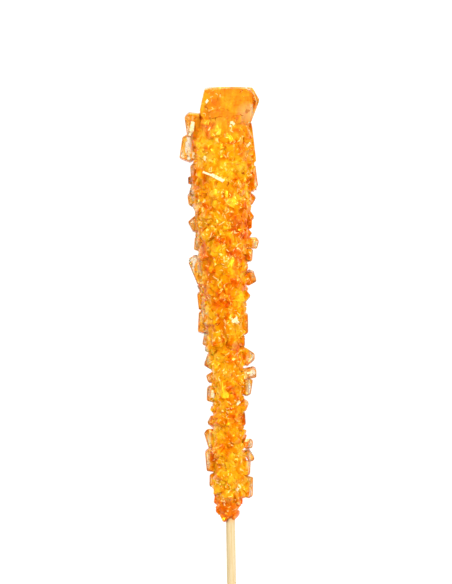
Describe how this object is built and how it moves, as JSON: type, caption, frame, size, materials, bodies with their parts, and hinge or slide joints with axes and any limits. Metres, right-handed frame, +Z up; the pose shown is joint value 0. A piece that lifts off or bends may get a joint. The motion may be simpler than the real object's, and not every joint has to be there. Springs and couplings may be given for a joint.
{
  "type": "rock candy stick",
  "caption": "Orange sugar crystals grown along a thin wooden stick, thick and flat at one end and tapering to the bare stick, lying on its side.",
  "frame": {"origin": "on the surface that the candy lies on, under the middle of the part's box", "axes": "+Y along the stick, from its bare end to the candy's flat end; +X to the right of the candy seen from above; +Z up from the surface"},
  "size_m": [0.0244, 0.1771, 0.0195],
  "materials": {
    "orange_sugar": "clear orange crystal with glossy flat faces",
    "birch": "bare pale wood, fine grain"
  },
  "bodies": {
    "root": {"crystals": "orange_sugar", "stick": "birch"}
  },
  "joints": []
}
